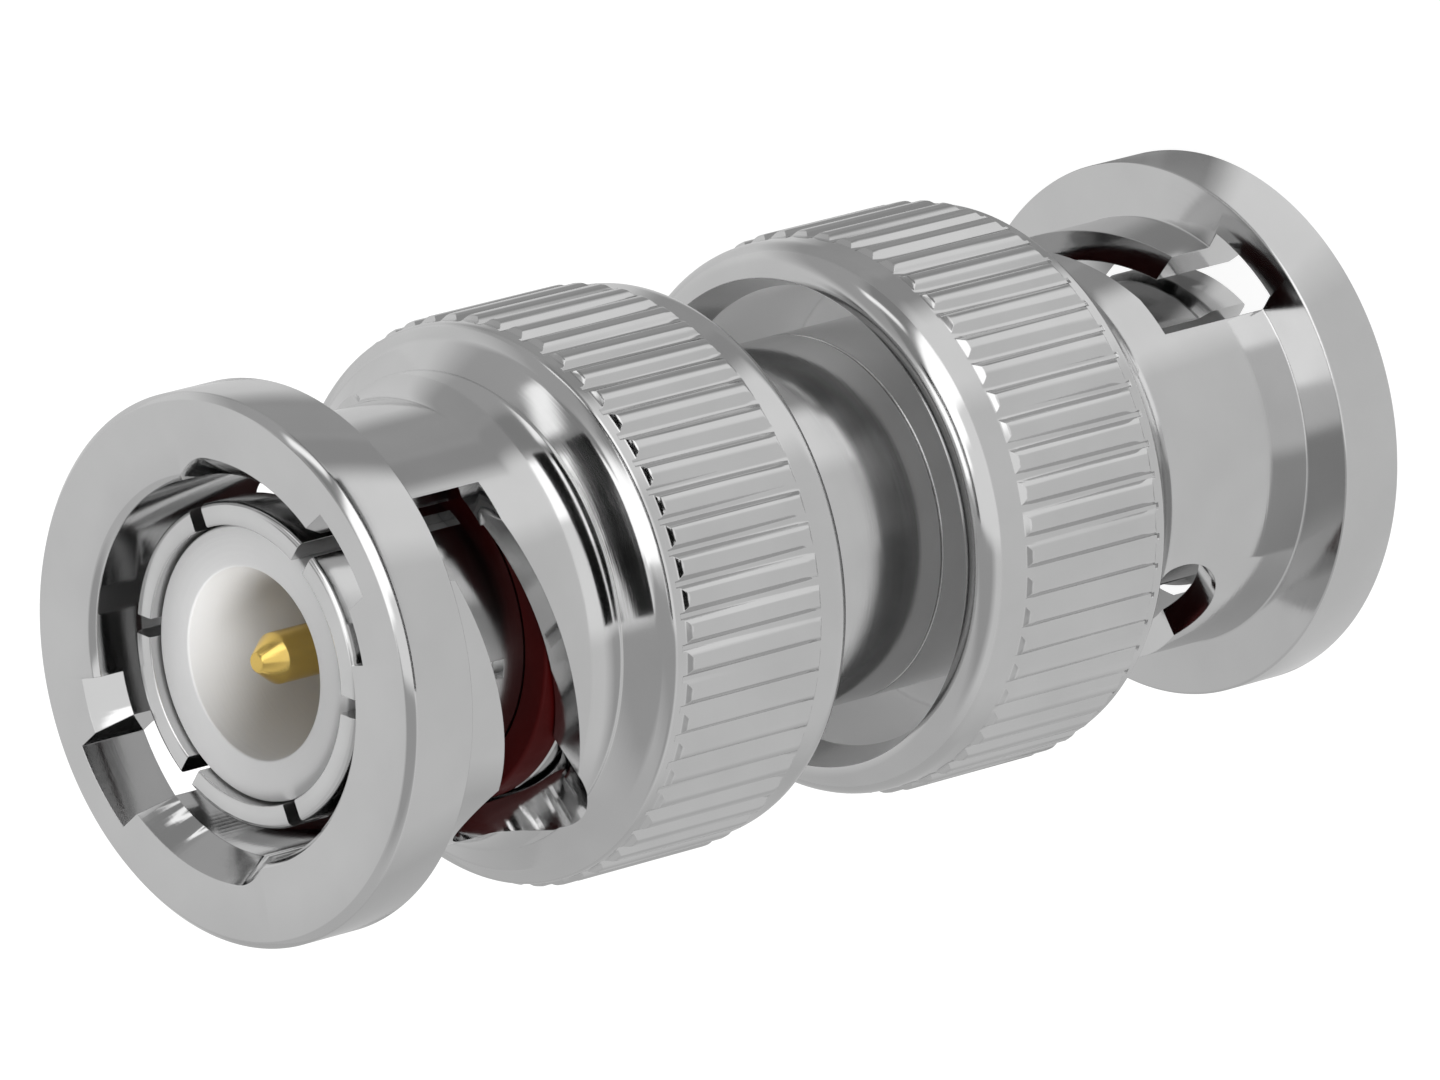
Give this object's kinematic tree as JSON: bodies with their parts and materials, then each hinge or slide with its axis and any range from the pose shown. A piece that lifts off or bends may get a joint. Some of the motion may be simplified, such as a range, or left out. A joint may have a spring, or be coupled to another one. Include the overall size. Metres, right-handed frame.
{
  "type": "coaxial bayonet adapter, plug to plug",
  "caption": "Straight coaxial adapter with a spring-loaded bayonet coupling nut, slotted outer contact and centre pin at each end.",
  "frame": {"origin": "on the axis, at the level of the lower coupling nut's front face that the part stands on", "axes": "+Z along the part's axis, up through both ends; +X through a finger slot of the outer contacts"},
  "size_m": [0.015, 0.015, 0.0352],
  "materials": {
    "nickel_plate": "bright nickel plate on turned brass",
    "gold_plate": "bright gold plate on turned brass",
    "ptfe": "turned white fluoropolymer, satin",
    "seal_rubber": "red silicone rubber, satin",
    "spring_steel": "plain spring steel"
  },
  "bodies": {
    "core": {"upper_body": "nickel_plate", "lower_body": "nickel_plate", "upper_outer_contact": "nickel_plate", "lower_outer_contact": "nickel_plate", "upper_insulator": "ptfe", "lower_insulator": "ptfe", "upper_gasket": "seal_rubber", "lower_gasket": "seal_rubber", "upper_seat_washer": "spring_steel", "lower_seat_washer": "spring_steel", "upper_wave_washer": "spring_steel", "lower_wave_washer": "spring_steel", "upper_sleeve": "nickel_plate", "lower_sleeve": "nickel_plate", "barrel": "nickel_plate", "centre_pin": "gold_plate"},
    "upper_slider": {"upper_thrust_washer": "spring_steel"},
    "upper_nut": {"upper_coupling_nut": "nickel_plate"},
    "lower_slider": {"lower_thrust_washer": "spring_steel"},
    "lower_nut": {"lower_coupling_nut": "nickel_plate"}
  },
  "joints": [
    {"name": "upper_nut_travel", "type": "slide", "parent": "core", "child": "upper_slider", "axis": [0, 0, 1], "range_m": [0, 0.0004], "stiffness_N_per_m": 12000, "springref_m": -0.0003, "deforming": ["upper_wave_washer"]},
    {"name": "upper_nut_turn", "type": "hinge", "parent": "upper_slider", "child": "upper_nut", "pos_m": [0, 0, 0.0254], "axis": [0, 0, 1], "continuous": true},
    {"name": "lower_nut_travel", "type": "slide", "parent": "core", "child": "lower_slider", "axis": [0, 0, -1], "range_m": [0, 0.0004], "stiffness_N_per_m": 12000, "springref_m": -0.0003, "deforming": ["lower_wave_washer"]},
    {"name": "lower_nut_turn", "type": "hinge", "parent": "lower_slider", "child": "lower_nut", "pos_m": [0, 0, 0.0098], "axis": [0, 0, -1], "continuous": true}
  ]
}
